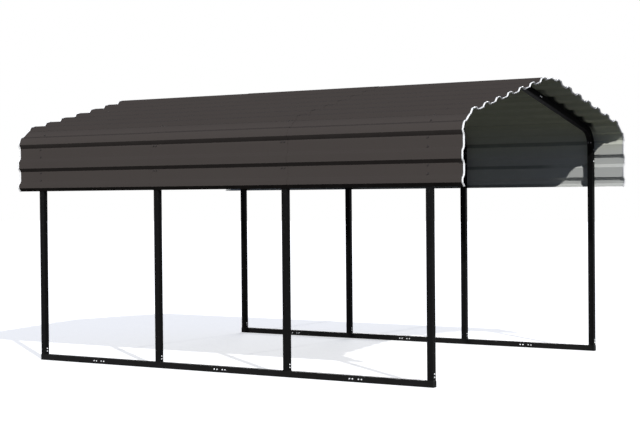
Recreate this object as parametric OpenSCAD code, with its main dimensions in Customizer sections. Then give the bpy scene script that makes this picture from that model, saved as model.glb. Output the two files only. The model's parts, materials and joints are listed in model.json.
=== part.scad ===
// Open carport: four bent-tube frames on two base rails, under a ribbed sheet roof
// Millimetres. X runs across, Y along the length with the front end at -Y, Z is up from the ground

/* [Frame] */
// Width over the outer faces of the posts
frame_w = 3126; // [2800:1:3600]
// Distance between neighbouring frames
bay = 1340; // [1100:1:1600]
// Outside of the square tube
tube = 52; // [44:1:60]
// Wall of the square tube
tube_wall = 1.6; // [1.2:0.1:2.4]
// Outside corner radius of the square tube
tube_corner = 5; // [4:0.5:7]
// Height at which the line of the side meets the line of the roof
corner_h = 2063; // [1950:1:2400]
// Outer radius of the eave bend in a rafter
bend_r = 205; // [150:1:260]
// Outer radius of the bend at the ridge
ridge_r = 120; // [90:1:160]
// Slope of the roof in degrees
roof_angle = 13.6; // [10:0.1:18]

/* [Joints] */
// Length of the narrowed tube end that enters the next piece
spigot_len = 90; // [60:1:120]
// Clearance on each side of a narrowed end
fit_gap = 0.3; // [0.2:0.05:0.5]
// Height of the upright stub on a base rail
stub_h = 95; // [70:1:120]
// Arm of a peak piece, along the roof from the ridge
peak_arm = 420; // [300:1:520]
// Thickness of the plug's flange on a rail end
plug_flange = 2.5; // [2:0.5:6]
// Depth of the plug inside the rail
plug_depth = 22; // [15:1:30]

/* [Roof] */
// Roof beyond the centre of the front frame
front_overhang = 311; // [220:1:400]
// Roof beyond the centre of the rear frame
rear_overhang = 262; // [220:1:400]
// Height of the roof's bottom edge
eave_h = 1534; // [1400:1:1650]
// Overlap of sheets that follow each other along the roof
lap_len = 90; // [60:1:140]
// Flat lip on the long edge of a sheet, past its last rib
side_lip = 12; // [8:1:20]

/* [Sheet] */
// Thickness of a roof sheet
sheet_t = 0.8; // [0.5:0.1:1.2]
// Height of a rib
rib_depth = 24; // [16:1:30]
// Flat top of a rib
rib_crest = 58; // [40:1:76]
// Run of a rib's flank
rib_flank = 30; // [18:1:36]
// Flat top of the rib along the bottom edge
edge_crest = 28; // [16:1:40]
// Distance between neighbouring ribs
rib_pitch = 211; // [190:1:230]
// Part of the rib pitch between the ridge and the first rib
ridge_share = 0.765; // [0.6:0.005:0.9]
// Clearance between a frame and the sheets on it
seat_gap = 0.3; // [0.2:0.05:0.5]
// Clearance between lapped sheets
lap_gap = 0.1; // [0.1:0.05:0.3]

/* [Hidden] */
$fn = 96;

// Frames in a row, placed so that the roof over them is centred on the origin
frames = 4;
row_len = (frames - 1) * bay;
function frame_y(i) = i * bay - row_len / 2 + (front_overhang - rear_overhang) / 2;

// Facets on one tube corner, and the turn of one facet of a bent sheet
corner_steps = 3;
sheet_turn = 4;
// Turn past the ridge line of each half of a peak piece, before the halves are cut there
ridge_over = 2;
// Part of a corner radius that a thick wall still leaves inside
corner_share = 0.3;

// Narrowed tube end, which slides into an open one
spigot = tube - 2 * tube_wall - 2 * fit_gap;
spigot_corner = max(tube_corner - tube_wall - fit_gap, tube_corner * corner_share);
rail_x = frame_w / 2 - tube / 2;

// Roof line: ridge arc, slope, eave bend, side
half_w = frame_w / 2;
turn = 90 - roof_angle;
apex_h = corner_h + half_w * tan(roof_angle);
ridge_c = apex_h - ridge_r / cos(roof_angle);
bend_tangent = bend_r * tan(turn / 2);
bend_x = half_w - bend_r;
bend_h = corner_h - bend_tangent;
slope_len = half_w / cos(roof_angle) - ridge_r * tan(roof_angle) - bend_tangent;
function arc_len(r, angle) = r * angle * PI / 180;
u_ridge = arc_len(ridge_r, roof_angle);
u_bend = u_ridge + slope_len;
u_side = u_bend + arc_len(bend_r, turn);
u_bottom = u_side + bend_h - eave_h;
post_top = bend_h;

// Ribs on each half of the roof: as many as leave room for the one along the bottom edge
u_edge = u_bottom - edge_crest / 2 - rib_flank;
edge_room = rib_crest / 2 + edge_crest / 2 + 2 * rib_flank + side_lip;
rib_rows = floor((u_edge - edge_room) / rib_pitch - ridge_share) + 2;
function rib_at(k) =
    k < 0 ? -rib_at(-k - 1) :
    k == rib_rows - 1 ? u_edge :
    rib_pitch * (k + ridge_share);
// A nested sheet is wider by this for each unit that it lies further out
spread = tan(atan(rib_depth / rib_flank) / 2);
// Ribs from the ridge to the end of the ridge sheet, and from there to the end of the slope sheet
ridge_rows = 3;
slope_rows = 4;
ridge_last = ridge_rows - 1;
slope_last = min(ridge_last + slope_rows, rib_rows - 2);

// Point of the roof, u along it from the ridge and n out from the frame
function on_half(u, n) =
    u < u_ridge ? on_arc([0, ridge_c], ridge_r + n, u / u_ridge * roof_angle) :
    u < u_bend ? on_arc([0, ridge_c], ridge_r + n, roof_angle)
        + (u - u_ridge) * [cos(roof_angle), -sin(roof_angle)] :
    u < u_side ? on_arc([bend_x, bend_h], bend_r + n,
        roof_angle + (u - u_bend) / (u_side - u_bend) * turn) :
    [half_w + n, bend_h - (u - u_side)];
function on_arc(centre, r, angle) = centre + r * [sin(angle), cos(angle)];
function on_roof(p) =
    let (q = on_half(abs(p[0]), p[1]))
    [p[0] < 0 ? -q[0] : q[0], q[1]];

// Rib k of the half sheet, seen at a distance d out from the frame
function rib(k, d) =
    let (
        centre = rib_at(k),
        crest = (abs(k) == rib_rows - 1 ? edge_crest : rib_crest) / 2 + d * spread,
        foot = crest + rib_flank
    )
    [
        [centre - foot, d], [centre - crest, d + rib_depth],
        [centre + crest, d + rib_depth], [centre + foot, d]
    ];

// Outline of a row of ribs, with a flat lip before the first and, if wanted, after the last
function row(first, last, d, lip_after) =
    let (
        points = [for (k = [first:last]) each rib(k, d)],
        start = [points[0][0] - side_lip, d],
        end = [points[len(points) - 1][0] + side_lip, d]
    )
    [start, each points, if (lip_after) end];

// The outline's straight runs, cut short where the roof bends
function bends(u) = abs(u) < u_ridge || (abs(u) > u_bend && abs(u) < u_side);
facet_len = arc_len(bend_r, sheet_turn);
function runs(points) = [
    for (i = [0:len(points) - 2])
        let (
            a = points[i],
            b = points[i + 1],
            bent = bends(a[0]) || bends(b[0]) || bends((a[0] + b[0]) / 2),
            steps = bent ? ceil((b[0] - a[0]) / facet_len) : 1
        )
        for (j = [0:steps - 1]) a + (b - a) * j / steps,
    points[len(points) - 1]
];
function backward(points) = [for (i = [len(points) - 1:-1:0]) points[i]];

// One sheet between two distances along the roof, on a given layer of the laps
module sheet(first, last, layer, lip_after, y_from, y_to) {
    d = seat_gap + layer * (sheet_t + lap_gap);
    inner = runs(row(first, last, d, lip_after));
    outer = runs(row(first, last, d + sheet_t, lip_after));
    color("dimgray")
    translate([0, y_to, 0])
    rotate([90, 0, 0])
    linear_extrude(y_to - y_from)
    polygon([for (p = concat(inner, backward(outer))) on_roof(p)]);
}

// Ends of the three sheet lengths, and the layers that the middle ones lie higher
lap_front = frame_y(1);
lap_rear = frame_y(2);
spans = [
    [frame_y(0) - front_overhang, lap_front + lap_len / 2],
    [lap_front - lap_len / 2, lap_rear + lap_len / 2],
    [lap_rear - lap_len / 2, frame_y(frames - 1) + rear_overhang]
];
raised = [0, 2, 0];

module eave_sheet(i) {
    sheet(slope_last, rib_rows - 1, raised[i], false, spans[i][0], spans[i][1]);
}

module slope_sheet(i) {
    sheet(ridge_last, slope_last, raised[i] + 1, true, spans[i][0], spans[i][1]);
}

module ridge_sheet(i) {
    sheet(-ridge_rows, ridge_last, raised[i] + 2, true, spans[i][0], spans[i][1]);
}

// Square with rounded corners, centred
function rounded(w, r) = [
    for (q = [0:3], s = [0:corner_steps])
        let (angle = 90 * (q + s / corner_steps), c = 90 * q + 45)
        (w / 2 - r) * [sign(cos(c)), sign(sin(c))] + r * [cos(angle), sin(angle)]
];

module ring(w, r, hole, hole_r) {
    difference() {
        polygon(rounded(w, r));
        polygon(rounded(hole, hole_r));
    }
}

bore = tube - 2 * tube_wall;
bore_corner = max(tube_corner - tube_wall, tube_corner * corner_share);
spigot_bore = spigot - 2 * tube_wall;
spigot_bore_corner = max(spigot_corner - tube_wall, spigot_corner * corner_share);

module tube_ring() {
    ring(tube, tube_corner, bore, bore_corner);
}

module spigot_ring() {
    ring(spigot, spigot_corner, spigot_bore, spigot_bore_corner);
}

// Step where a tube narrows to its spigot
module shoulder_ring() {
    ring(tube, tube_corner, spigot_bore, spigot_bore_corner);
}

// Narrowed end that starts at z = 0 and points up, with its shoulder below
module spigot_end() {
    translate([0, 0, -tube_wall])
    linear_extrude(tube_wall)
    shoulder_ring();
    linear_extrude(spigot_len)
    spigot_ring();
}

// Base rail from one joint to the next, with the stub that a post slips over
module base_rail(i, side) {
    last = i == frames - 1;
    y_from = i == 0 ? frame_y(i) - tube / 2 : frame_y(i) - bay / 2;
    y_to = last ? frame_y(i) + tube / 2 : frame_y(i) + bay / 2;
    color("black")
    translate([side * rail_x, 0, tube / 2]) {
        translate([0, y_from, 0])
        rotate([-90, 0, 0])
        linear_extrude(y_to - y_from - (last ? 0 : tube_wall))
        tube_ring();
        if (!last)
            translate([0, y_to, 0])
            rotate([-90, 0, 0])
            spigot_end();
        translate([0, frame_y(i), bore / 2])
        linear_extrude(tube_wall + stub_h)
        spigot_ring();
    }
}

// Plugs that close the four free rail ends
module rail_end_plugs() {
    color("black")
    for (side = [-1, 1], end = [-1, 1])
        translate([side * rail_x, frame_y(end < 0 ? 0 : frames - 1) + end * tube / 2, tube / 2])
        rotate([-90 * end, 0, 0]) {
            linear_extrude(plug_flange)
            polygon(rounded(tube, tube_corner));
            translate([0, 0, -plug_depth])
            linear_extrude(plug_depth)
            spigot_ring();
        }
}

module post(i, side) {
    color("black")
    translate([side * rail_x, frame_y(i), tube])
    linear_extrude(post_top - tube)
    tube_ring();
}

// Rafter: narrowed end in the post, eave bend, and the run up to the peak piece
module rafter(i, side) {
    centre_r = bend_r - tube / 2;
    color("black")
    translate([0, frame_y(i), 0])
    mirror([side < 0 ? 1 : 0, 0, 0])
    translate([bend_x, 0, bend_h]) {
        rotate([0, -turn, 0]) {
            translate([centre_r, 0, 0])
            linear_extrude(u_bend - peak_arm)
            tube_ring();
            mirror([0, 0, 1])
            rotate([90, 0, 0])
            rotate_extrude(angle = turn)
            translate([centre_r, 0])
            tube_ring();
        }
        translate([centre_r, 0, -spigot_len]) {
            linear_extrude(spigot_len + 2 * tube_wall)
            spigot_ring();
            translate([0, 0, spigot_len + tube_wall])
            linear_extrude(tube_wall)
            ring(tube - tube_wall, tube_corner, spigot_bore, spigot_bore_corner);
        }
    }
}

// Right half of a peak piece, bent a little past the ridge line
module peak_half() {
    centre_r = ridge_r - tube / 2;
    arm = peak_arm - u_ridge;
    rotate([0, roof_angle, 0]) {
        rotate([90, 0, 0])
        rotate([0, 0, 90])
        rotate_extrude(angle = roof_angle + ridge_over)
        translate([centre_r, 0])
        tube_ring();
        translate([0, 0, centre_r])
        rotate([0, 90, 0]) {
            linear_extrude(arm - tube_wall)
            tube_ring();
            translate([0, 0, arm])
            spigot_end();
        }
    }
}

// Peak piece: bent over the ridge, with a narrowed end into each rafter
module peak(i) {
    color("black")
    translate([0, frame_y(i), ridge_c])
    for (side = [0, 1])
        mirror([side, 0, 0])
        intersection() {
            peak_half();
            translate([0, -tube, -corner_h])
            cube([half_w, 2 * tube, 2 * corner_h]);
        }
}

base_rail(0, -1);  // left_rail_front
base_rail(1, -1);  // left_rail_front_mid
base_rail(2, -1);  // left_rail_rear_mid
base_rail(3, -1);  // left_rail_rear
base_rail(0, 1);  // right_rail_front
base_rail(1, 1);  // right_rail_front_mid
base_rail(2, 1);  // right_rail_rear_mid
base_rail(3, 1);  // right_rail_rear
rail_end_plugs();
post(0, -1);  // left_post_front
post(1, -1);  // left_post_front_mid
post(2, -1);  // left_post_rear_mid
post(3, -1);  // left_post_rear
post(0, 1);  // right_post_front
post(1, 1);  // right_post_front_mid
post(2, 1);  // right_post_rear_mid
post(3, 1);  // right_post_rear
rafter(0, -1);  // left_rafter_front
rafter(1, -1);  // left_rafter_front_mid
rafter(2, -1);  // left_rafter_rear_mid
rafter(3, -1);  // left_rafter_rear
rafter(0, 1);  // right_rafter_front
rafter(1, 1);  // right_rafter_front_mid
rafter(2, 1);  // right_rafter_rear_mid
rafter(3, 1);  // right_rafter_rear
peak(0);  // peak_front
peak(1);  // peak_front_mid
peak(2);  // peak_rear_mid
peak(3);  // peak_rear
mirror([1, 0, 0]) eave_sheet(0);  // front_left_eave_sheet
mirror([1, 0, 0]) slope_sheet(0);  // front_left_slope_sheet
ridge_sheet(0);  // front_ridge_sheet
slope_sheet(0);  // front_right_slope_sheet
eave_sheet(0);  // front_right_eave_sheet
mirror([1, 0, 0]) eave_sheet(1);  // middle_left_eave_sheet
mirror([1, 0, 0]) slope_sheet(1);  // middle_left_slope_sheet
ridge_sheet(1);  // middle_ridge_sheet
slope_sheet(1);  // middle_right_slope_sheet
eave_sheet(1);  // middle_right_eave_sheet
mirror([1, 0, 0]) eave_sheet(2);  // rear_left_eave_sheet
mirror([1, 0, 0]) slope_sheet(2);  // rear_left_slope_sheet
ridge_sheet(2);  // rear_ridge_sheet
slope_sheet(2);  // rear_right_slope_sheet
eave_sheet(2);  // rear_right_eave_sheet
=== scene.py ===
import json
import math
import bmesh
import bpy
from mathutils import Matrix, Vector, noise


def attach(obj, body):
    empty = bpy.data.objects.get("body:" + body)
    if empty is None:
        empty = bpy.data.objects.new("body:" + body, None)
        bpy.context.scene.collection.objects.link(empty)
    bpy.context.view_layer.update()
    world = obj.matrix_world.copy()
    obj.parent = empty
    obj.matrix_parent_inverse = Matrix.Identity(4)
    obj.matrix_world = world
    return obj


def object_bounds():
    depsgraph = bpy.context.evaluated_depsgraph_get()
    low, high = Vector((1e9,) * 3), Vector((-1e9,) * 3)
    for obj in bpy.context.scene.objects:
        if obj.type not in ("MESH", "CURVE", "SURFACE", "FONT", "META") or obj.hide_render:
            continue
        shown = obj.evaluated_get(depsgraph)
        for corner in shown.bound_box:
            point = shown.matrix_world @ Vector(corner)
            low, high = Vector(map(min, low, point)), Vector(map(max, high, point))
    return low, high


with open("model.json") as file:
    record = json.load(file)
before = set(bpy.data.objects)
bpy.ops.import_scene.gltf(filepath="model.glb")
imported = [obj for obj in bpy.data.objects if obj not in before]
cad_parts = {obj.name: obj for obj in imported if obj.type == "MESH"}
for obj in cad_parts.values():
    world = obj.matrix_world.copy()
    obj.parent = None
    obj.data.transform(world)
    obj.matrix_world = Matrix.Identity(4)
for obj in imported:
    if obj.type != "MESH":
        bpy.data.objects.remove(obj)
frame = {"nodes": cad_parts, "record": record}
cadLow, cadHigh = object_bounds()
print("carport frame loaded:", len(frame["nodes"]), "nodes")

# the solids' own sizes in metres, angles in radians, and counts
layout = {"bay": 1.340, "frames": 4, "rowMiddle": 0.0245, "tube": 0.052,
          "roofFront": cadLow[1], "roofRear": cadHigh[1]}
roofLine = {"halfWidth": 1.563, "cornerHeight": 2.063, "bendRadius": 0.205, "ridgeRadius": 0.120,
            "angle": math.radians(13.6), "eaveHeight": 1.534,
            "ribRows": 10, "ridgeSheetRibs": 3, "slopeSheetRibs": 5, "ribPitch": 0.211, "ridgeShare": 0.765,
            "ribDepth": 0.024, "ribCrest": 0.058, "ribFlank": 0.030, "edgeCrest": 0.028,
            "seatGap": 0.0003, "sheetThick": 0.0008, "lapGap": 0.0001, "lapLayers": 2}
rowShift = (layout["frames"] - 1) / 2
frameRows = [layout["rowMiddle"] + layout["bay"] * (i - rowShift) for i in range(layout["frames"])]
railJoints = [y + layout["bay"] / 2 for y in frameRows[:-1]]
postX = roofLine["halfWidth"] - layout["tube"] / 2


class RoofLine:
    # the outer line of the frames, measured along it from the ridge
    def __init__(self, values):
        self.values = values
        angle, half = values["angle"], values["halfWidth"]
        bend, ridge = values["bendRadius"], values["ridgeRadius"]
        turn = math.pi / 2 - angle
        tangent = bend * math.tan(turn / 2)
        self.ridgeCentre = values["cornerHeight"] + half * math.tan(angle) - ridge / math.cos(angle)
        self.bendX, self.bendZ = half - bend, values["cornerHeight"] - tangent
        self.ridgeEnd = ridge * angle
        self.slopeEnd = self.ridgeEnd + half / math.cos(angle) - ridge * math.tan(angle) - tangent
        self.bendEnd = self.slopeEnd + bend * turn
        bottom = self.bendEnd + self.bendZ - values["eaveHeight"]
        self.edgeRib = bottom - values["edgeCrest"] / 2 - values["ribFlank"]

    def rib(self, k):
        # feet and crest ends of one rib
        edge = k == self.values["ribRows"] - 1
        centre = self.edgeRib if edge else self.values["ribPitch"] * (k + self.values["ridgeShare"])
        crest = self.values["edgeCrest" if edge else "ribCrest"] / 2
        foot = crest + self.values["ribFlank"]
        return centre - foot, centre - crest, centre + crest, centre + foot

    def flats(self):
        # the flat between every two ribs, from the ridge down
        ribs = [self.rib(k) for k in range(self.values["ribRows"])]
        return [(-ribs[0][0], ribs[0][0])] + [(a[3], b[0]) for a, b in zip(ribs, ribs[1:])]

    def profile(self):
        # every rib from the left bottom edge to the right one, as distance along and height
        depth = self.values["ribDepth"]
        heights = (0.0, depth, depth, 0.0)
        marks = [mark for k in range(self.values["ribRows"]) for mark in zip(self.rib(k), heights)]
        return [(-u, n) for u, n in reversed(marks)] + marks

    def lean(self, along):
        u = abs(along)
        if u < self.ridgeEnd:
            return u / self.values["ridgeRadius"]
        bent = min(max(u - self.slopeEnd, 0.0), self.bendEnd - self.slopeEnd)
        return self.values["angle"] + bent / self.values["bendRadius"]

    def outward(self, along):
        lean = self.lean(along)
        return Vector((math.copysign(math.sin(lean), along), 0.0, math.cos(lean)))

    def point(self, along, out, y):
        u, side = abs(along), Vector((math.copysign(1.0, along), 1.0, 1.0))
        direction = self.outward(u)
        if u < self.slopeEnd:
            down = Vector((math.cos(self.values["angle"]), 0.0, -math.sin(self.values["angle"])))
            base = Vector((0.0, 0.0, self.ridgeCentre)) + direction * self.values["ridgeRadius"]
            base += down * max(u - self.ridgeEnd, 0.0)
        elif u < self.bendEnd:
            base = Vector((self.bendX, 0.0, self.bendZ)) + direction * self.values["bendRadius"]
        else:
            base = Vector((self.values["halfWidth"], 0.0, self.bendZ - (u - self.bendEnd)))
        return (base + direction * out) * side + Vector((0.0, y, 0.0))

    def alongBend(self, height, out):
        # distance along at which the bend passes a height
        rise = math.asin((height - self.bendZ) / (self.values["bendRadius"] + out))
        return self.bendEnd - self.values["bendRadius"] * rise


roof = RoofLine(roofLine)
print("roof line from ridge to edge rib:", round(roof.edgeRib, 3), "m")


class Wire:
    # a socket that takes part in plain sums, each sum adding its Math node
    def __init__(self, board, socket):
        self.board = board
        self.socket = socket

    def beside(self, name):
        return Wire(self.board, self.socket.node.outputs[name])

    def maths(self, operation, a, b=0.0):
        return self.board.node("ShaderNodeMath", {"operation": operation}, {0: a, 1: b})

    def __add__(self, other):
        return self.maths("ADD", self, other)

    def __radd__(self, other):
        return self.maths("ADD", other, self)

    def __sub__(self, other):
        return self.maths("SUBTRACT", self, other)

    def __rsub__(self, other):
        return self.maths("SUBTRACT", other, self)

    def __mul__(self, other):
        return self.maths("MULTIPLY", self, other)

    def __rmul__(self, other):
        return self.maths("MULTIPLY", other, self)

    def __gt__(self, other):
        return self.maths("GREATER_THAN", self, other)

    def __abs__(self):
        return self.maths("ABSOLUTE", self)

    def atLeast(self, other):
        return self.maths("MAXIMUM", self, other)

    def atMost(self, other):
        return self.maths("MINIMUM", self, other)

    def sign(self):
        return self.maths("SIGN", self)

    def swing(self, half):
        # distance to the nearest multiple of twice this length
        return self.maths("PINGPONG", self, half)


class Board:
    # the node tree of one material or of the world
    def __init__(self, owner):
        self.owner = owner
        owner.use_nodes = True
        self.tree = owner.node_tree
        self.tree.nodes.clear()

    def node(self, kind, settings=None, sockets=None, out=0):
        made = self.tree.nodes.new(kind)
        for key, value in (settings or {}).items():
            setattr(made, key, value)
        for key, value in (sockets or {}).items():
            if isinstance(value, Wire):
                self.tree.links.new(value.socket, made.inputs[key])
            else:
                made.inputs[key].default_value = value
        return Wire(self, made.outputs[out]) if made.outputs else None

    def split(self, wire):
        x = self.node("ShaderNodeSeparateXYZ", None, {0: wire}, "X")
        return x, x.beside("Y"), x.beside("Z")

    def place(self):
        return self.node("ShaderNodeTexCoord", None, None, "Object")

    def grain(self, place, scale, detail):
        return self.node("ShaderNodeTexNoise", {"noise_dimensions": "3D"},
                         {"Vector": place, "Scale": scale, "Detail": detail})

    def stretch(self, place, scale):
        return self.node("ShaderNodeMapping", None, {"Vector": place, "Scale": scale})

    def between(self, wire, low, high):
        return self.node("ShaderNodeMapRange", {"clamp": True}, {0: wire, 1: low, 2: high})

    def blend(self, factor, a, b):
        return self.node("ShaderNodeMix", {"data_type": "RGBA"}, {0: factor, 6: a, 7: b}, 2)

    def bump(self, height, strength, distance, under=None):
        sockets = {"Strength": strength, "Distance": distance, "Height": height}
        if under:
            sockets["Normal"] = under
        return self.node("ShaderNodeBump", None, sockets)

    def seenPlainly(self):
        # rays that show the backdrop: from the camera, or by way of metal
        seen = self.node("ShaderNodeLightPath", None, None, "Is Camera Ray")
        return seen.atLeast(seen.beside("Is Glossy Ray")).atLeast(seen.beside("Is Transmission Ray"))

    def close(self, shader, output="ShaderNodeOutputMaterial"):
        self.node(output, None, {"Surface": shader})
        return self.owner

    def surface(self, sockets):
        return self.close(self.node("ShaderNodeBsdfPrincipled", None, sockets))


def newFinish(name):
    return Board(bpy.data.materials.new(name))


def grey(value):
    return (value, value, value, 1.0)


# grains are given as scale and detail, bumps as strength and height in metres
tubePaint = {"dark": (0.0036, 0.0036, 0.0036, 1.0), "light": (0.0094, 0.0094, 0.0093, 1.0),
             "cloud": (3.0, 4.0), "runs": (1.0, 4.0), "runStretch": (22.0, 22.0, 1.1), "runShare": 0.5,
             "scuffed": (0.0240, 0.0236, 0.0228, 1.0), "scuff": (60.0, 6.0), "scuffRange": (0.62, 0.76),
             "dusty": (0.0120, 0.0118, 0.0114, 1.0), "dust": (6.0, 5.0), "dustRange": (0.060, 0.046),
             "dustShare": 1.8, "gloss": (0.40, 0.54), "scuffGloss": 0.12, "shine": 0.015,
             "peel": (420.0, 2.0), "peelBump": (0.5, 0.00012)}


def makeTubePaint(values):
    finish = newFinish("blackTubePaint")
    place = finish.place()
    height = finish.split(place)[2]
    runs = finish.grain(finish.stretch(place, values["runStretch"]), *values["runs"])
    cloud = finish.grain(place, *values["cloud"])
    tone = (1.0 - values["runShare"]) * cloud + values["runShare"] * runs
    # small scuffs from putting it up, dust of the ground on the base rails
    scuffs = finish.between(finish.grain(place, *values["scuff"]), *values["scuffRange"])
    specks = values["dustShare"] * finish.grain(place, *values["dust"])
    dust = finish.between(height, *values["dustRange"]) * specks
    colour = finish.blend(tone, values["dark"], values["light"])
    colour = finish.blend(scuffs, colour, values["scuffed"])
    low, high = values["gloss"]
    return finish.surface({
        "Base Color": finish.blend(dust, colour, values["dusty"]),
        "Roughness": low + (high - low) * tone + values["scuffGloss"] * scuffs,
        "Specular IOR Level": values["shine"],
        "Normal": finish.bump(finish.grain(place, *values["peel"]), *values["peelBump"]),
    })


# facing is 1 on the outer flats, 0.78 on their flanks, -0.63 to 0.63 on cut edges, -0.78 and -1 inside
sheetCoat = {"outer": (0.0534, 0.0456, 0.0420, 1.0), "outerWorn": (0.0594, 0.0516, 0.0466, 1.0),
             "outsideFacing": -0.70, "cloud": (1.6, 4.0), "runs": (1.0, 5.0),
             "runStretch": (9.0, 9.0, 0.7), "runShare": 0.4,
             # painted shade of the outer coat: its colour, how it varies, and how much the flanks, cut
             # edges, downward faces and bottom edge take
             "paintedShade": (0.0110, 0.0098, 0.0090, 1.0), "paintedShadeSpread": 0.4,
             "flankFacing": (0.95, 0.85), "flankShade": 0.165, "cutFacing": (0.45, 0.30), "cutShade": 0.7,
             "underFacing": (-0.1, -0.35), "underShade": 0.40, "edgeTop": (1.60, 1.58), "bottomEdgeShade": 0.36,
             # painted light tint: the inner coat is yellower high up than low down
             "innerHigh": (0.68, 0.70, 0.520, 1.0), "innerLow": (0.640, 0.650, 0.612, 1.0),
             "highLow": (1.80, 2.12), "innerDull": (0.3, 0.3, 0.3, 1.0), "dullShare": 0.1,
             # painted shade on the inner ribs' upward ledges: its colour, share, masks and how near the
             # ends it reaches
             "ledgeShade": (0.14, 0.15, 0.16, 1.0), "ledgeShadeShare": 0.47, "innerFlank": (-0.95, -0.85),
             "ledgeFacing": (0.08, 0.22), "ledgeEnds": (1.62, 1.45), "shadeReachAbove": 1.82, "shadeReachRise": 4.0,
             # painted shadow along the rafters on the sheet's inside: its colour, share, width and where it
             # lies
             "rafterShadow": (0.03, 0.03, 0.03, 1.0), "rafterShadowShare": 0.95, "cornerWidth": (0.078, 0.046),
             "cornerLow": (2.02, 2.10), "cornerTop": (0.30, 0.55),
             "gloss": (0.62, 0.52), "wearGloss": 0.08, "shine": 0.0,
             "pan": (1.0, 1.0), "panStretch": (2.2, 0.9, 2.2), "panBump": (1.0, 0.0010),
             "peel": (500.0, 2.0), "peelBump": (0.4, 0.00008)}


def makeSheetCoat(values):
    finish = newFinish("ribbedSheetCoat")
    place = finish.place()
    x, y, z = finish.split(place)
    normal = finish.node("ShaderNodeNewGeometry", None, None, "Normal")
    normalZ = finish.split(normal)[2]
    # the roof's own outward direction: even on the slope, radial on the eave bend, level on the skirt
    bendStart = roof.outward(roof.slopeEnd) * roofLine["bendRadius"]
    sideways = (abs(x) - roof.bendX).atLeast(bendStart.x) * x.sign()
    upward = (z - roof.bendZ).atLeast(0.0).atMost(bendStart.z)
    radial = finish.node("ShaderNodeCombineXYZ", None, {"X": sideways, "Z": upward})
    outward = finish.node("ShaderNodeVectorMath", {"operation": "NORMALIZE"}, {0: radial})
    facing = finish.node("ShaderNodeVectorMath", {"operation": "DOT_PRODUCT"},
                         {0: normal, 1: outward}, "Value")
    outside = facing > values["outsideFacing"]
    cloud = finish.grain(place, *values["cloud"])
    runs = finish.grain(finish.stretch(place, values["runStretch"]), *values["runs"])
    wear = cloud * (1.0 - values["runShare"]) + runs * values["runShare"]
    outerColour = finish.blend(wear, values["outer"], values["outerWorn"])
    # painted shade: the coat is darker on the ribs' flanks and on cut edges, more on downward faces and
    # most on those along the bottom edge, varied by the runs grain
    flank = finish.between(facing, *values["flankFacing"]) * values["flankShade"]
    cut = finish.between(facing, *values["cutFacing"]) * values["cutShade"]
    lowest = finish.between(z, *values["edgeTop"]) * values["bottomEdgeShade"]
    under = finish.between(normalZ, *values["underFacing"]) * (lowest + values["underShade"])
    spread = values["paintedShadeSpread"]
    paintedShade = (flank + cut + under) * (1.0 - spread / 2 + spread * runs)
    outerColour = finish.blend(paintedShade, outerColour, values["paintedShade"])
    # painted light tint: the inner coat turns yellower towards the top, standing in for the warmer shade
    # light there
    high = finish.between(z, *values["highLow"])
    innerColour = finish.blend(high, values["innerLow"], values["innerHigh"])
    innerColour = finish.blend(cloud * values["dullShare"], innerColour, values["innerDull"])
    # inside, painted shade on the ribs' upward ledges, kept off the roof's ends but reaching nearer them
    # higher up, and a painted shadow along the rafters
    reach = abs(y) - values["shadeReachRise"] * (z - values["shadeReachAbove"]).atLeast(0.0)
    ledge = finish.between(facing, *values["innerFlank"]) * finish.between(normalZ, *values["ledgeFacing"])
    # the ledge mask below carries painted shade, kept away from the ends
    dust = ledge * finish.between(reach, *values["ledgeEnds"])
    innerColour = finish.blend(dust * values["ledgeShadeShare"], innerColour, values["ledgeShade"])
    # painted shadow: a dark band on the sheet's inside beside each rafter, on the sloping part away from
    # the ridge
    toFrame = (y - frameRows[0]).swing(layout["bay"] / 2)
    sloping = finish.between(z, *values["cornerLow"]) * finish.between(abs(x), *values["cornerTop"])
    corner = finish.between(toFrame, *values["cornerWidth"]) * sloping
    innerColour = finish.blend(corner * values["rafterShadowShare"], innerColour, values["rafterShadow"])
    # slight waves of thin rolled sheet, with the coat's fine peel on top
    pan = finish.grain(finish.stretch(place, values["panStretch"]), *values["pan"])
    waves = finish.bump(pan, *values["panBump"])
    inGloss, outGloss = values["gloss"]
    return finish.surface({
        "Base Color": finish.blend(outside, innerColour, outerColour),
        "Roughness": inGloss + (outGloss - inGloss) * outside + wear * values["wearGloss"],
        "Specular IOR Level": values["shine"],
        "Normal": finish.bump(finish.grain(place, *values["peel"]), *values["peelBump"], under=waves),
    })


# gloss is the least roughness and what the grain adds to it
plugPlastic = {"dark": (0.003, 0.003, 0.003, 1.0), "light": (0.007, 0.007, 0.007, 1.0), "metal": 0.0,
               "grain": (900.0, 3.0), "gloss": (0.62, 0.10), "shine": 0.1, "bump": (0.6, 0.0002)}
brightZinc = {"dark": (0.74, 0.75, 0.76, 1.0), "light": (0.90, 0.90, 0.91, 1.0), "metal": 0.6,
              "grain": (260.0, 4.0), "gloss": (0.30, 0.18), "shine": 0.5, "bump": (0.3, 0.0001)}
# painted shade: a darker copy of the zinc for the screws in shade at the rafters' feet
shadedZinc = {"dark": (0.16, 0.16, 0.17, 1.0), "light": (0.30, 0.30, 0.31, 1.0), "metal": 0.4,
            "grain": (260.0, 4.0), "gloss": (0.50, 0.18), "shine": 0.5, "bump": (0.3, 0.0001)}
capPaint = {"dark": (0.018, 0.015, 0.015, 1.0), "light": (0.040, 0.034, 0.033, 1.0), "metal": 0.0,
            "grain": (320.0, 4.0), "gloss": (0.40, 0.15), "shine": 0.2, "bump": (0.4, 0.0001)}


def makeSpeckled(name, values):
    # one fine grain varies the colour, the gloss and the height together
    finish = newFinish(name)
    specks = finish.grain(finish.place(), *values["grain"])
    least, added = values["gloss"]
    return finish.surface({
        "Base Color": finish.blend(specks, values["dark"], values["light"]),
        "Metallic": values["metal"],
        "Roughness": least + specks * added,
        "Specular IOR Level": values["shine"],
        "Normal": finish.bump(specks, *values["bump"]),
    })


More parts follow.
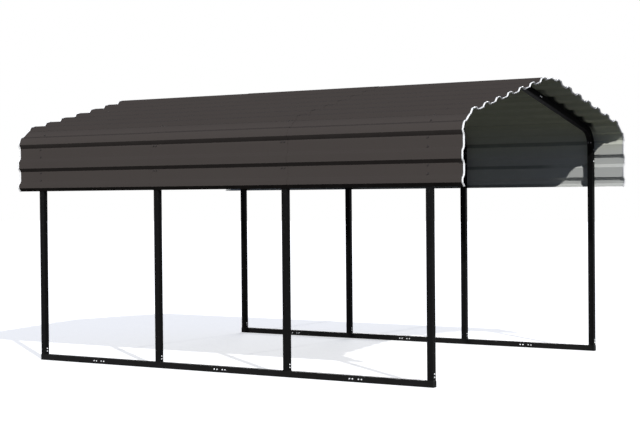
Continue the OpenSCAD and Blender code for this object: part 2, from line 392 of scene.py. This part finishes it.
beadVinyl = {"clean": (0.90, 0.90, 0.89, 1.0), "dusty": (0.78, 0.78, 0.76, 1.0), "dust": (14.0, 5.0),
             "dustShare": 0.6, "gloss": (0.5, 0.12), "fine": (400.0, 2.0), "fineBump": (0.4, 0.0001)}


def makeBeadVinyl(values):
    finish = newFinish("paleEdgeBead")
    place = finish.place()
    dust = finish.grain(place, *values["dust"])
    least, added = values["gloss"]
    return finish.surface({
        "Base Color": finish.blend(dust * values["dustShare"], values["clean"], values["dusty"]),
        "Roughness": least + dust * added,
        "Normal": finish.bump(finish.grain(place, *values["fine"]), *values["fineBump"]),
    })


weldPaint = {"thick": (0.0040, 0.0040, 0.0040, 1.0), "thin": (0.030, 0.029, 0.028, 1.0),
             "ripple": (180.0, 4.0), "gloss": (0.36, 0.2), "shine": 0.3, "rippleBump": (0.7, 0.0006)}


def makeWeldPaint(values):
    finish = newFinish("paintedWeld")
    ripple = finish.grain(finish.place(), *values["ripple"])
    least, added = values["gloss"]
    return finish.surface({
        "Base Color": finish.blend(ripple * ripple, values["thick"], values["thin"]),
        "Roughness": least + ripple * added,
        "Specular IOR Level": values["shine"],
        "Normal": finish.bump(ripple, *values["rippleBump"]),
    })


paints = {
    "frame_tube": makeTubePaint(tubePaint),
    "roof_sheet": makeSheetCoat(sheetCoat),
    "end_plug": makeSpeckled("blackPlugPlastic", plugPlastic),
}
zincBright = makeSpeckled("brightZinc", brightZinc)
zincShaded = makeSpeckled("shadedZinc", shadedZinc)
caps = makeSpeckled("paintedScrewCaps", capPaint)
vinyl = makeBeadVinyl(beadVinyl)
weld = makeWeldPaint(weldPaint)
for part in frame["record"]["subparts"]:
    mesh = frame["nodes"][part["node"]].data
    mesh.materials.clear()
    mesh.materials.append(paints[part["material_slot"]])


def addPiece(name, shape, material, smooth=True):
    bmesh.ops.recalc_face_normals(shape, faces=shape.faces)
    mesh = bpy.data.meshes.new(name)
    shape.to_mesh(mesh)
    shape.free()
    mesh.materials.append(material)
    for face in mesh.polygons:
        face.use_smooth = smooth
    piece = bpy.data.objects.new(name, mesh)
    bpy.context.scene.collection.objects.link(piece)
    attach(piece, "root")
    return piece


def standOn(at, direction):
    # place and turn of a shape that is modelled along +Z
    return Matrix.Translation(at) @ Vector((0, 0, 1)).rotation_difference(direction).to_matrix().to_4x4()


def addCone(shape, stand, low, high, wide, narrow, sides):
    lift = Matrix.Translation((0, 0, (low + high) / 2))
    return bmesh.ops.create_cone(shape, cap_ends=True, segments=sides, radius1=wide, radius2=narrow,
                                 depth=high - low, matrix=stand @ lift)["verts"]


# what all screws share; each is turned further than the last one
screwShape = {"turn": 0.61, "roundSides": 12, "headSides": 6, "washerTaper": 0.86, "ease": 0.16,
              "topFacing": 0.9}
frameScrew = {"flange": 0.0060, "flangeThick": 0.0016, "dish": 0.0010, "across": 0.0040, "height": 0.0046}
roofScrew = {"flange": 0.0068, "flangeThick": 0.0014, "dish": 0.0008, "across": 0.0044, "height": 0.0050,
             "washer": 0.0086, "washerThick": 0.0022}


def addScrew(shape, at, direction, values):
    # rubber washer where it has one, pressed flange, hex head with eased top edges
    stand = standOn(at, direction) @ Matrix.Rotation(len(shape.verts) * screwShape["turn"], 4, "Z")
    sides = screwShape["roundSides"]
    seat = values.get("washerThick", 0.0)
    if seat:
        washer = values["washer"]
        addCone(shape, stand, 0.0, seat, washer, washer * screwShape["washerTaper"], sides)
    collar = seat + values["flangeThick"]
    addCone(shape, stand, seat, collar, values["flange"], values["flange"] - values["dish"], sides)
    across = values["across"]
    head = addCone(shape, stand, collar, collar + values["height"], across, across, screwShape["headSides"])
    top = next(f for v in head for f in v.link_faces if f.normal.dot(direction) > screwShape["topFacing"])
    bmesh.ops.bevel(shape, geom=top.edges[:], offset=across * screwShape["ease"],
                    offset_type="OFFSET", affect="EDGES", segments=1, profile=0.5, material=-1)


def addScrews(name, spots, values, material):
    shape = bmesh.new()
    for at, direction in spots:
        addScrew(shape, Vector(at), Vector(direction), values)
    addPiece(name, shape, material, False)
    print(name, len(spots))


railScrews = {"offsets": (-0.056, -0.028, 0.028, 0.056), "height": 0.026}
footScrews = {"heights": (0.079, 0.103)}
topScrews = {"lowHeight": 1.769, "highHeight": 1.878, "bendHeight": 1.944, "bendSpread": 0.014}
peakScrews = {"along": (0.402, 0.430)}


def makeFrameScrews():
    tube = layout["tube"]
    half = tube / 2
    posts = [(side, y) for side in (-1, 1) for y in frameRows]
    forward = (0, -1, 0)
    rails = [((side * (postX + way * half), y + offset, railScrews["height"]), (side * way, 0, 0))
             for side in (-1, 1) for y in railJoints for offset in railScrews["offsets"] for way in (-1, 1)]
    addScrews("railJointScrews", rails, frameScrew, zincBright)
    feet = [((side * postX, y - half, height), forward)
            for side, y in posts for height in footScrews["heights"]]
    addScrews("postFootScrews", feet, frameScrew, zincBright)
    tops = [((side * postX, y - half, topScrews["lowHeight"]), forward) for side, y in posts]
    addScrews("postTopScrews", tops, frameScrew, zincBright)
    bend = roof.alongBend(topScrews["bendHeight"], -tube)
    inner = [((side * postX, y - half, topScrews["highHeight"]), forward) for side, y in posts]
    inner += [(roof.point(side * bend, -tube, y + shift), -roof.outward(side * bend))
              for side, y in posts for shift in (-topScrews["bendSpread"], topScrews["bendSpread"])]
    # these screws take the darker zinc copy: painted shade
    addScrews("rafterFootScrews", inner, frameScrew, zincShaded)
    peaks = [(roof.point(side * along, -half, y - half), forward)
             for side, y in posts for along in peakScrews["along"]]
    addScrews("peakJointScrews", peaks, frameScrew, zincBright)


makeFrameScrews()
roofScrews = {"clear": 0.012, "lapSpread": 0.014}


def sheetTop(span, lapped):
    # height of the outer face over the frame, by the sheets that lie on each other there
    ridgeSheet = span < roofLine["ridgeSheetRibs"]
    slopeSheet = span < roofLine["ridgeSheetRibs"] + roofLine["slopeSheetRibs"] - 1
    layer = ridgeSheet + slopeSheet + roofLine["lapLayers"] * lapped
    sheet = roofLine["sheetThick"]
    return roofLine["seatGap"] + layer * (sheet + roofLine["lapGap"]) + sheet


def makeRoofScrews(values):
    # one at each end of a flat on the end frames, a pair at its upper end where sheets lap
    spots = []
    for row, y in enumerate(frameRows):
        lapped = 0 < row < layout["frames"] - 1
        shifts = (-values["lapSpread"], values["lapSpread"]) if lapped else (0.0,)
        for span, (start, end) in enumerate(roof.flats()):
            ends = [end - values["clear"]] if span == 0 else [start + values["clear"]]
            if span and not lapped:
                ends.append(end - values["clear"])
            spots += [(roof.point(side * u, sheetTop(span, lapped), y + shift), roof.outward(side * u))
                      for side in (-1, 1) for u in ends for shift in shifts]
    addScrews("roofScrews", spots, roofScrew, caps)


makeRoofScrews(roofScrews)
edgeBead = {"width": 0.014, "inset": 0.010, "under": -0.003, "over": 0.006, "bendStep": 0.03,
            "bendMargin": 0.2, "cornerAngles": (30.0, 50.0), "softening": 0.007, "softSegments": 3,
            "rounding": 0.003, "roundSegments": 3, "roundAbove": 50.0}


def beadChain(shape, path, out, y):
    # one side of the bead, at an even distance from the sheet's edge line
    normals = [Vector((na - nb, ub - ua)).normalized() for (ua, na), (ub, nb) in zip(path, path[1:])]
    verts = []
    for (u, n), a, b in zip(path, normals[:1] + normals, normals + normals[-1:]):
        corner = (a + b) / (1 + a.dot(b)) * out
        verts.append(shape.verts.new(roof.point(u + corner.x, n + corner.y, y)))
    return [shape.edges.new(pair) for pair in zip(verts, verts[1:])]


def makeEdgeBead(name, end, way, values):
    # wraps the sheets' ends along every rib, from one bottom edge to the other
    marks = roof.profile()
    path = [marks[0]]
    for (ua, na), (ub, nb) in zip(marks, marks[1:]):
        bent = ua < 0 < ub or abs(ub) > roof.slopeEnd - values["bendMargin"]
        steps = math.ceil((ub - ua) / values["bendStep"]) if bent else 1
        path += [(ua + (ub - ua) * i / steps, na + (nb - na) * i / steps) for i in range(1, steps + 1)]
    shape = bmesh.new()
    start = end - way * values["inset"]
    chains = beadChain(shape, path, values["under"], start) + beadChain(shape, path, values["over"], start)
    bmesh.ops.bridge_loops(shape, edges=chains)
    pulled = bmesh.ops.extrude_face_region(shape, geom=shape.faces[:])
    bmesh.ops.translate(shape, verts=[v for v in pulled["geom"] if isinstance(v, bmesh.types.BMVert)],
                        vec=(0, way * values["width"], 0))
    # the strip bends softly at the ribs' corners
    shape.normal_update()
    least, most = (math.radians(a) for a in values["cornerAngles"])
    lengthwise = [e for e in shape.edges if e.is_manifold
                  and abs(e.verts[0].co.y - e.verts[1].co.y) > values["width"] / 2]
    bmesh.ops.bevel(shape, geom=[e for e in lengthwise if least < e.calc_face_angle() < most],
                    offset=values["softening"], offset_type="OFFSET", affect="EDGES",
                    segments=values["softSegments"], profile=0.5, material=-1)
    piece = addPiece(name, shape, vinyl)
    rolled = piece.modifiers.new("rolled", "BEVEL")
    rolled.width = values["rounding"]
    rolled.segments = values["roundSegments"]
    rolled.limit_method = "ANGLE"
    rolled.angle_limit = math.radians(values["roundAbove"])


makeEdgeBead("frontEdgeBead", layout["roofFront"], -1, edgeBead)
makeEdgeBead("rearEdgeBead", layout["roofRear"], 1, edgeBead)
print("edge beads done")
weldBead = {"length": 0.040, "radius": 0.0036, "height": 0.051, "proud": 0.0005, "sides": 10, "rings": 16,
            "swell": 0.28, "swellPace": 170.0, "ripple": 0.10, "ripplePace": 1500.0}


def makeWeldBeads(values):
    # a run of weld across the front and rear of every post's foot
    shape = bmesh.new()
    length, radius, height = values["length"], values["radius"], values["height"]
    gap = layout["tube"] / 2 + values["proud"]
    for side in (-1, 1):
        for y in [y + way * gap for y in frameRows for way in (-1, 1)]:
            stand = standOn((side * postX - length / 2, y, height), Vector((1, 0, 0)))
            run = addCone(shape, stand, 0.0, length, radius, radius, values["sides"])
            lengths = dict.fromkeys(e for v in run for e in v.link_edges
                                    if abs(e.verts[0].co.x - e.verts[1].co.x) > length / 2)
            cut = bmesh.ops.subdivide_edges(shape, edges=list(lengths), cuts=values["rings"],
                                            use_grid_fill=True)
            for v in cut["geom_inner"]:
                if isinstance(v, bmesh.types.BMVert):
                    fat = 1 + values["swell"] * noise.noise(v.co * values["swellPace"])
                    fat += values["ripple"] * math.sin(v.co.x * values["ripplePace"])
                    v.co.y = y + (v.co.y - y) * fat
                    v.co.z = height + (v.co.z - height) * fat
    addPiece("footWelds", shape, weld)


makeWeldBeads(weldBead)
print("welds done")
floorValues = {"size": 60.0, "pale": 0.80, "glow": 0.52, "bounce": 0.065}
skyValues = {"tint": (0.82, 1.0, 1.52, 1.0), "strength": 0.17}
lamps = {"sun": {"strength": 2.9, "angle": 0.8, "way": (0.76, 1.0, -0.95)},
         "fill": {"strength": 1.75, "angle": 1.2, "way": (1.0, -0.014, -0.17)},
         "back": {"strength": 2.2, "angle": 25.0, "way": (-1.0, -0.4, -0.3)}}
lampDistance = 8.0


def makeFloor(values):
    shape = bmesh.new()
    bmesh.ops.create_grid(shape, x_segments=1, y_segments=1, size=values["size"])
    mesh = bpy.data.meshes.new("floor")
    shape.to_mesh(mesh)
    shape.free()
    # pale to look at, but it throws little light back up under the roof
    finish = newFinish("paleFloor")
    pale = finish.node("ShaderNodeBsdfDiffuse", None, {"Color": grey(values["pale"])})
    glow = finish.node("ShaderNodeEmission", None, {"Color": grey(1.0), "Strength": values["glow"]})
    shown = finish.node("ShaderNodeAddShader", None, {0: pale, 1: glow})
    bounce = finish.node("ShaderNodeBsdfDiffuse", None, {"Color": grey(values["bounce"])})
    mixed = finish.node("ShaderNodeMixShader", None, {0: finish.seenPlainly(), 1: bounce, 2: shown})
    mesh.materials.append(finish.close(mixed))
    floor = bpy.data.objects.new("floor", mesh)
    bpy.context.scene.collection.objects.link(floor)


def makeSky(values):
    world = bpy.data.worlds.new("studio")
    bpy.context.scene.world = world
    studio = Board(world)
    soft = studio.node("ShaderNodeBackground", None,
                       {"Color": values["tint"], "Strength": values["strength"]})
    white = studio.node("ShaderNodeBackground", None, {"Color": grey(1.0), "Strength": 1.0})
    mixed = studio.node("ShaderNodeMixShader", None, {0: studio.seenPlainly(), 1: soft, 2: white})
    studio.close(mixed, "ShaderNodeOutputWorld")


def makeLamp(name, values):
    lamp = bpy.data.lights.new(name, "SUN")
    lamp.energy = values["strength"]
    lamp.angle = math.radians(values["angle"])
    holder = bpy.data.objects.new(name, lamp)
    way = Vector(values["way"])
    holder.rotation_euler = Vector((0, 0, -1)).rotation_difference(way).to_euler()
    holder.location = -lampDistance * way
    bpy.context.scene.collection.objects.link(holder)


viewCamera = {"place": (-11.5541, -7.5827, 1.4766), "turn": (89.09, 0.51, -56.608), "lens": 84.386,
              "sensor": 36.0, "clipEnd": 200.0}


def makeCamera(values):
    data = bpy.data.cameras.new("viewCamera")
    data.sensor_width = values["sensor"]
    data.sensor_fit = "HORIZONTAL"
    data.lens = values["lens"]
    data.clip_end = values["clipEnd"]
    camera = bpy.data.objects.new("viewCamera", data)
    camera.location = values["place"]
    camera.rotation_euler = [math.radians(a) for a in values["turn"]]
    bpy.context.scene.collection.objects.link(camera)
    bpy.context.scene.camera = camera


makeFloor(floorValues)
makeSky(skyValues)
for name, values in lamps.items():
    makeLamp(name, values)
makeCamera(viewCamera)
bpy.context.scene.view_settings.view_transform = "Standard"
print("stage done")
